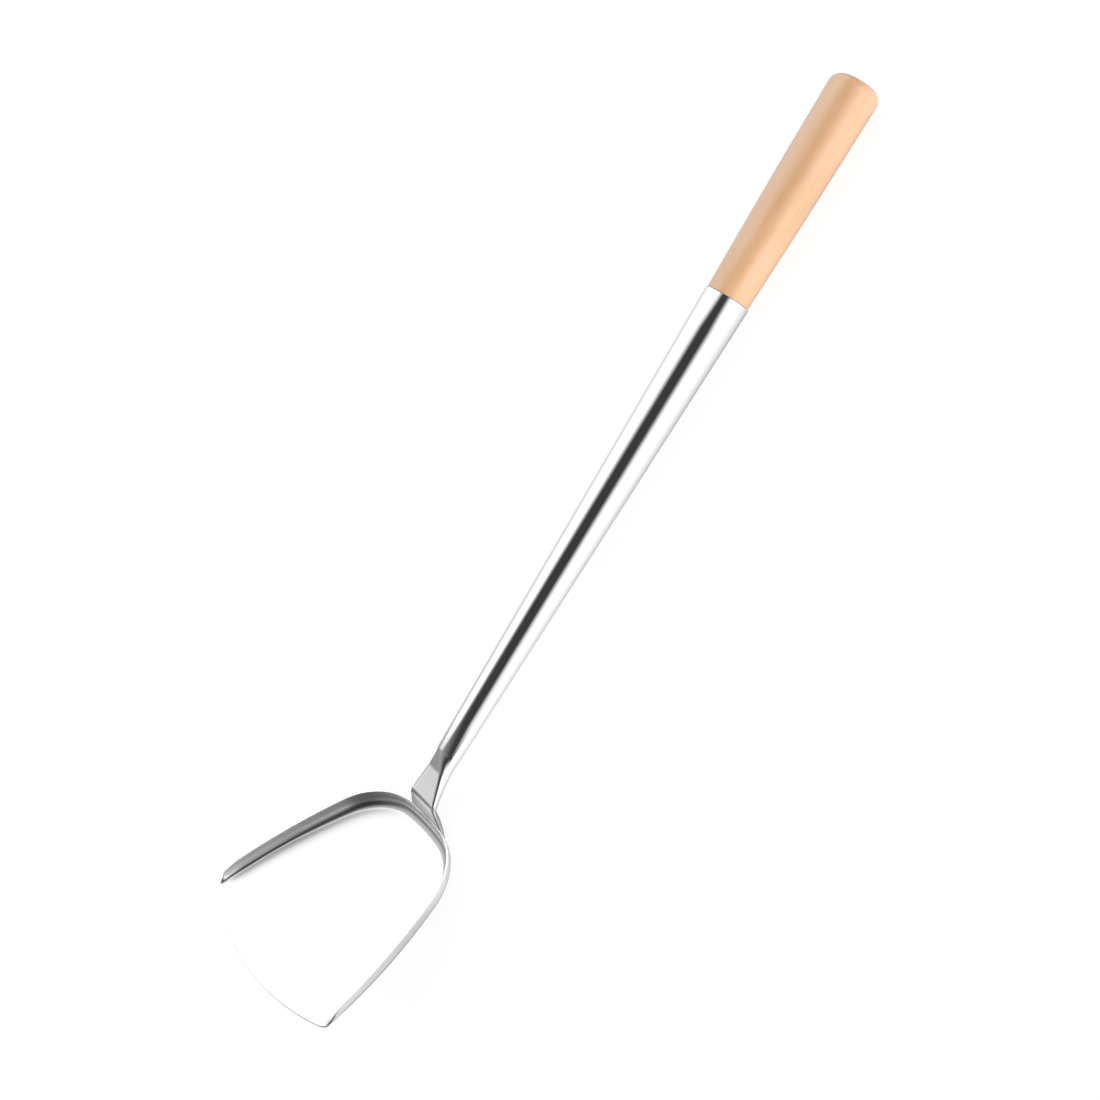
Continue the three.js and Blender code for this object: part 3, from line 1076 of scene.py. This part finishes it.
@dataclass
class RolledHandle(Fitting):
    """Neck and tube in one rolled sheet: front wall, bend, facet and the long taper, seamed underneath."""

    sizes: HandleSizes = HANDLE
    half_steps: int = 60
    tube_steps: int = 14
    facet_steps: int = 34
    bend_steps: int = 12
    wall_steps: int = 14
    crowding: float = 1.6

    def ring(self, station: Station, origin: Vector, up: Vector, bow: float) -> list[Vector]:
        """Lays a section in space.

        Args:
            station: the section.
            origin: its own origin.
            up: the direction that its height runs in.
            bow: how far the section runs forward at the rear corners of the blade.

        Returns:
            The open ring, from the left lip over the top to the right lip.
        """
        half = station.half(self.half_steps, self.sizes.ridge_round)
        flat = [(-y, q) for y, q in reversed(half[1:])] + half
        reach = SCOOP.rear_width / 2
        return [origin + up * q + Vector((bow * (y / reach) ** 2, y, 0.0)) for y, q in flat]

    def handle_ring(self, along: float) -> list[Vector]:
        """Works out the ring at one place of the handle.

        Args:
            along: how far up the handle it is from the bend.

        Returns:
            The open ring.
        """
        h = self.sizes
        share = clamp(1 - along / h.facet_length)
        radius = LINE.tube_radius(along)
        reach = clamp((along - LINE.joint) / (h.facet_length - LINE.joint))
        dip = h.facet_sag * min(reach / (1 - h.facet_knee), (1 - reach) / h.facet_knee)
        station = Station(
            ridge=h.neck_width / 2 * share ** h.outline_share,
            top=lerp(radius, h.facet_drop, share) - dip,
            lip=lerp(h.seam_gap, h.lip_gap, share ** h.opening_share) / 2,
            bottom=-lerp(radius, h.lip_depth, share),
        )
        return self.ring(station, LINE.start + LINE.axis * along, LINE.above, 0.0)

    def neck_ring(self, share: float, origin: Vector) -> list[Vector]:
        """Works out the ring at one place of the neck's wall.

        Args:
            share: how far up the wall it is, 0 at the foot and 1 at the bend.
            origin: where the section's own origin lies.

        Returns:
            The open ring.
        """
        h = self.sizes
        angle = lerp(LINE.wall_angle, LINE.axis_angle, share)
        ridge = lerp(h.neck_width, h.foot_width, (1 - share) ** h.flare_share) / 2
        station = Station(
            ridge=ridge,
            top=0.0,
            lip=ridge - lerp(h.foot_tuck, (h.neck_width - h.lip_gap) / 2, share),
            bottom=-lerp(h.foot_depth, h.facet_drop + h.lip_depth, share),
        )
        return self.ring(station, origin, heading(angle - math.pi / 2), SCOOP.rear_bow * (1 - share))

    def rings(self) -> list[list[Vector]]:
        """Works out every ring of the handle's steel.

        Returns:
            The open rings, from the tube's mouth to the neck's foot.
        """
        h = self.sizes
        stops = [lerp(h.tube_length, h.facet_length, i / self.tube_steps) for i in range(self.tube_steps)]
        stops += [lerp(h.facet_length, LINE.joint, i ** self.crowding) for i in shares(self.facet_steps, 0)]
        made = [self.handle_ring(along) for along in stops]
        centre = LINE.bend - heading(LINE.wall_angle) * LINE.setback
        centre -= heading(LINE.wall_angle - math.pi / 2) * h.bend_radius
        for i in range(1, self.bend_steps):
            angle = lerp(LINE.facet_angle, LINE.wall_angle, i / self.bend_steps)
            origin = centre + heading(angle - math.pi / 2) * h.bend_radius
            share = 1 + LINE.setback / LINE.wall_length * (1 - 2 * i / self.bend_steps)
            made.append(self.neck_ring(min(share, 1.0), origin))
        for down in shares(self.wall_steps, 0):
            share = lerp(1 - LINE.setback / LINE.wall_length, 0.0, down)
            origin = LINE.bend - heading(LINE.wall_angle) * LINE.wall_length * (1 - share)
            made.append(self.neck_ring(share, origin))
        return made

    def build(self, place: Place) -> Piece:
        """Models the handle's steel: the open ring is drawn down from the mouth, then gets its thickness.

        Args:
            place: where the blade lies.

        Returns:
            The finished piece.
        """
        h = self.sizes
        rings = self.rings()
        piece = start_ring("rolled_handle", rings[0], closed=False)
        extrude_rings(piece, rings[1:])
        face_outwards()
        tried = piece.data.polygons[len(piece.data.polygons) // 4]
        arm = tried.center - LINE.start
        if tried.normal.dot(arm - LINE.axis * arm.dot(LINE.axis)) < 0:
            piece.data.flip_normals()
        thicken(piece, h.sheet, h.edge_round, h.edge_angle, 2)
        settle(piece, place.blade)
        return piece


# Grip


@dataclass
class TurnedGrip(Fitting):
    """The wooden grip, turned about the handle's axis, with its spigot inside the tube."""

    sizes: GripSizes = GRIP
    round_steps: int = 96
    side_steps: int = 24
    end_steps: int = 10
    shoulder_steps: int = 4
    dome_steps: int = 6

    def radius(self, share: float) -> float:
        """Returns the grip's radius from the tube at share 0 to its end at 1."""
        g = self.sizes
        return lerp(g.start_diameter, g.end_diameter, share) / 2 + g.swell * math.sin(math.pi * share) - g.slack

    def profile(self) -> list[Pair]:
        """Works out the grip's profile, from the spigot's tip over the grip to its domed end.

        Returns:
            Radius and distance up the handle.
        """
        g, h = self.sizes, HANDLE
        tip = h.tube_length - g.spigot
        shoulder = h.tube_length + g.joint
        inner = LINE.tube_radius(tip) - h.sheet - g.spigot_slack
        mouth = LINE.tube_radius(h.tube_length) - h.sheet - g.spigot_slack
        made = [(inner - g.spigot_chamfer, tip), (inner, tip + g.spigot_chamfer)]
        made += [(mouth, h.tube_length), (mouth, shoulder), (self.radius(0) - g.shoulder_round, shoulder)]
        for share in shares(self.shoulder_steps):
            angle = math.pi / 2 * share
            out = self.radius(0) - g.shoulder_round * (1 - math.sin(angle))
            made.append((out, shoulder + g.shoulder_round * (1 - math.cos(angle))))
        end = h.tube_length + g.length
        round_start = end - g.dome - g.end_round
        for share in shares(self.side_steps):
            along = lerp(shoulder + g.shoulder_round, round_start, share)
            made.append((self.radius((along - shoulder) / g.length), along))
        rim = made[-1][0]
        for share in shares(self.end_steps):
            angle = math.pi / 2 * share
            made.append((rim - g.end_round * (1 - math.cos(angle)), round_start + g.end_round * math.sin(angle)))
        crown = rim - g.end_round
        for i in range(1, self.dome_steps):
            share = 1 - i / self.dome_steps
            made.append((crown * share, end - g.dome * share * share))
        return made

    def build(self, place: Place) -> Piece:
        """Turns the grip and lays it along the handle.

        Args:
            place: where the blade lies.

        Returns:
            The finished piece.
        """
        piece = lathe("turned_grip", self.profile(), self.round_steps, lambda y, z, along: Vector((-along, y, z)))
        settle(piece, place.handle(LINE.start), TURNED_SMOOTH)
        return piece


@dataclass
class GripNail(Fitting):
    """The small nail through tube and spigot: a flat wire shank under a low domed head."""

    sizes: GripSizes = GRIP
    round_steps: int = 40
    head_steps: int = 8

    def build(self, place: Place) -> Piece:
        """Models the nail from its point out to its head.

        Args:
            place: where the blade lies.

        Returns:
            The finished piece.
        """
        g = self.sizes
        along = HANDLE.tube_length - g.nail_setback
        base = LINE.tube_radius(along) + g.nail_gap
        head, half = g.nail_head / 2, g.nail_shank / 2
        profile = [(half * g.nail_tip_share, base - g.nail_depth), (half, base - g.nail_depth + g.nail_point)]
        profile += [(half, base), (head - g.nail_edge, base), (head, base + g.nail_edge)]
        for i in range(1, self.head_steps):
            angle = math.pi / 2 * i / self.head_steps
            rise = g.nail_edge + (g.nail_height - g.nail_edge) * math.sin(angle)
            profile.append((head * math.cos(angle), base + rise))
        piece = lathe("domed_grip_nail", profile, self.round_steps, lambda x, y, up: Vector((x, y, up)))
        turn = Matrix.Rotation(math.pi - g.nail_roll, 4, "X")
        out = Matrix.Translation(Vector((-along * MM, 0.0, 0.0)))
        settle(piece, place.handle(LINE.start) @ out @ turn, TURNED_SMOOTH)
        return piece


# Stage


@dataclass(frozen=True)
class Softbox:
    """A soft zone of light in the surroundings, by where its middle stands and how wide it is."""

    azimuth: float
    elevation: float
    inner: float
    outer: float
    strength: float

    @property
    def direction(self) -> Triple:
        """Works out where the zone's middle stands.

        Returns:
            The unit vector towards it.
        """
        azimuth, elevation = math.radians(self.azimuth), math.radians(self.elevation)
        level = math.cos(elevation)
        return level * math.cos(azimuth), level * math.sin(azimuth), math.sin(elevation)


@dataclass(frozen=True)
class Studio:
    """A pale floor between two large soft lights, in a dim room that polished steel shows as its dark bands."""

    boxes: tuple[Softbox, ...] = (
        Softbox(-118.0, 36.0, 26.0, 61.0, 1.4),
        Softbox(108.0, -4.0, 2.0, 55.0, 1.7),
        Softbox(-20.0, 17.0, 2.0, 67.0, 0.33),
        Softbox(-68.0, 48.0, 14.0, 28.0, 0.3),
    )
    room: float = 0.05
    fill: float = 0.5
    floor_size: float = 6.0
    floor_colour: str = "F7F7F7"
    floor_seen: float = 0.85
    floor_glow: float = 1.05
    floor_mirrored: float = 0.92
    floor_near: float = 1.5
    floor_far: float = 0.9
    floor_side_mm: Pair = (-40.0, 15.0)
    floor_front: float = 0.65
    floor_front_mm: Pair = (150.0, 180.0)
    floor_open_mm: float = 80.0
    floor_open_samples: int = 4
    lamp_place: Triple = (0.15, 1.25, 0.33)
    lamp_aim: Triple = (0.0, 0.0, 0.02)
    lamp_size: float = 0.75
    lamp_watts: float = 12.5
    camera_place: Triple = (-0.070755, 0.438016, 0.505199)
    camera_turn: Triple = (20.5064, 38.5492, 130.9301)
    focal_pixels: float = 1503.9
    sensor: float = 36.0
    clip: Pair = (0.01, 50.0)

    def world(self) -> None:
        """Builds the surroundings: the lights and the dim room in reflections, softened by a fill for shading."""
        made = bpy.data.worlds.new("soft_studio")
        bpy.context.scene.world = made
        tree = empty_tree(made)
        where = add_node(tree, "ShaderNodeTexCoord").outputs["Generated"]
        total: Any = self.room
        for box in self.boxes:
            dot = add_node(tree, "ShaderNodeVectorMath", {0: where, 1: box.direction}, operation="DOT_PRODUCT")
            zone = add_node(tree, "ShaderNodeMapRange", {
                "Value": dot.outputs["Value"],
                "From Min": math.cos(math.radians(box.outer)),
                "From Max": math.cos(math.radians(box.inner)),
                "To Max": box.strength,
            }, interpolation_type="SMOOTHSTEP").outputs["Result"]
            total = add_node(tree, "ShaderNodeMath", {0: zone, 1: total}, operation="ADD").outputs["Value"]
        path = add_node(tree, "ShaderNodeLightPath").outputs
        share = add_node(tree, "ShaderNodeMath", {
            0: path["Is Glossy Ray"],
            1: -self.fill,
            2: self.fill,
        }, operation="MULTIPLY_ADD").outputs["Value"]
        shaded = add_node(tree, "ShaderNodeMix", {0: share, 2: total, 3: 1.0}, data_type="FLOAT").outputs[0]
        strength = add_node(tree, "ShaderNodeMix", {
            0: path["Is Camera Ray"],
            2: shaded,
            3: 1.0,
        }, data_type="FLOAT").outputs[0]
        back = add_node(tree, "ShaderNodeBackground", {"Color": WHITE, "Strength": strength})
        add_node(tree, "ShaderNodeOutputWorld", {"Surface": back.outputs["Background"]})

    def floor(self) -> None:
        """Makes the pale floor: white to the camera, with the object's own soft shadow.

        Steel mirrors it as painted light, brighter on the near side of the handle and dimmer past the blade, and as
        painted shadow, dark where the object stands close over it.
        """
        deselect_all()
        bpy.ops.mesh.primitive_plane_add(size=self.floor_size, location=(0.0, 0.0, 0.0))
        plane = bpy.context.object
        plane.name = "floor"
        made = bpy.data.materials.new("pale_floor")
        tree = empty_tree(made)
        path = add_node(tree, "ShaderNodeLightPath").outputs
        seen = add_node(tree, "ShaderNodeMath", {
            0: path["Is Camera Ray"],
            1: self.floor_seen,
        }, operation="MULTIPLY").outputs["Value"]
        share = add_node(tree, "ShaderNodeMath", {
            0: path["Is Glossy Ray"],
            1: self.floor_mirrored,
            2: seen,
        }, operation="MULTIPLY_ADD").outputs["Value"]
        matt = add_node(tree, "ShaderNodeBsdfDiffuse", {"Color": linear(self.floor_colour)})
        where = add_node(tree, "ShaderNodeTexCoord").outputs["Object"]
        axes = add_node(tree, "ShaderNodeSeparateXYZ", {"Vector": where}).outputs
        # Painted light for reflections: the mirrored glow grows on the near side and fades past the blade; ambient
        # occlusion paints shadow under the object
        side, falloff = [
            add_node(tree, "ShaderNodeMapRange", {
                "Value": axes[axis],
                "From Min": start * MM,
                "From Max": end * MM,
                "To Min": first,
                "To Max": last,
            }, interpolation_type="SMOOTHSTEP").outputs["Result"]
            for axis, (start, end), first, last in (
                ("Y", self.floor_side_mm, self.floor_far, self.floor_near),
                ("X", self.floor_front_mm, 1.0, self.floor_front),
            )
        ]
        painted_shadow_ao = add_node(tree, "ShaderNodeAmbientOcclusion", {
            "Distance": self.floor_open_mm * MM,
        }, samples=self.floor_open_samples)
        level = add_node(tree, "ShaderNodeMath", {0: side, 1: falloff}, operation="MULTIPLY").outputs["Value"]
        mirrored = add_node(tree, "ShaderNodeMath", {
            0: level,
            1: painted_shadow_ao.outputs["AO"],
        }, operation="MULTIPLY").outputs["Value"]
        strength = add_node(tree, "ShaderNodeMix", {
            0: path["Is Glossy Ray"],
            2: self.floor_glow,
            3: mirrored,
        }, data_type="FLOAT").outputs[0]
        glow = add_node(tree, "ShaderNodeEmission", {"Color": WHITE, "Strength": strength})
        mixed = add_node(tree, "ShaderNodeMixShader", {
            0: share,
            1: matt.outputs["BSDF"],
            2: glow.outputs["Emission"],
        })
        add_node(tree, "ShaderNodeOutputMaterial", {"Surface": mixed.outputs["Shader"]})
        plane.data.materials.append(made)

    @staticmethod
    def place_in_scene(data: bpy.types.ID) -> Piece:
        """Adds the object that carries a lamp or camera.

        Args:
            data: the lamp or camera, whose name it takes.

        Returns:
            The object.
        """
        made = bpy.data.objects.new(data.name, data)
        bpy.context.scene.collection.objects.link(made)
        return made

    def lamp(self) -> None:
        """Adds the soft square lamp that lights the wood; reflections show only the surroundings."""
        data = bpy.data.lights.new("right_softbox", "AREA")
        data.shape = "SQUARE"
        data.size = self.lamp_size
        data.energy = self.lamp_watts
        lamp = self.place_in_scene(data)
        place = Vector(self.lamp_place)
        lamp.location = place
        lamp.rotation_euler = (Vector(self.lamp_aim) - place).to_track_quat("-Z", "Y").to_euler()
        lamp.visible_glossy = False

    def camera(self) -> None:
        """Places the camera where the outlines in the photograph put it."""
        data = bpy.data.cameras.new("photo_camera")
        data.sensor_width = self.sensor
        data.sensor_fit = "HORIZONTAL"
        data.lens = self.focal_pixels / PHOTO_PIXELS * self.sensor
        data.clip_start, data.clip_end = self.clip
        camera = self.place_in_scene(data)
        camera.location = self.camera_place
        camera.rotation_euler = Euler([math.radians(a) for a in self.camera_turn], "XYZ")
        bpy.context.scene.camera = camera

    def build(self) -> None:
        """Sets up surroundings, floor, lamp and camera."""
        self.world()
        self.floor()
        self.lamp()
        self.camera()
        bpy.context.scene.view_settings.view_transform = "Standard"


def main() -> None:
    """Builds every piece in order, dresses it and sets the stage."""
    logging.basicConfig(level=logging.INFO, format="%(name)s %(message)s")
    place = Place(frame["record"])
    blade_steel = PolishedSteel(Surface.STAMPED, "buffed_stainless_sheet", tone=BrushMarksAndShade())
    tube_steel = PolishedSteel(
        Surface.ROLLED, "mirror_polished_stainless_tube", neck_shade_colour="B4B2B5", roughness=0.33, far_roughness=0.09
    )
    nail_steel = PolishedSteel(Surface.WIRE, "drawn_steel_wire", colour="B9BBBD", roughness=0.3, far_roughness=0.3)
    scoop, handle, grip, nail = StampedScoop(), RolledHandle(), TurnedGrip(), GripNail()
    scoop.dress(scoop.build(place), blade_steel.material(), "scoop_blade", "blade_steel")
    handle.dress(handle.build(place), tube_steel.material(), "handle_tube", "tube_steel")
    grip.dress(grip.build(place), TurnedWood().material(), "wooden_grip", "grip_wood")
    nail.dress(nail.build(place), nail_steel.material(), "grip_nail", "nail_steel")
    Studio().build()


if __name__ == "__main__":
    main()
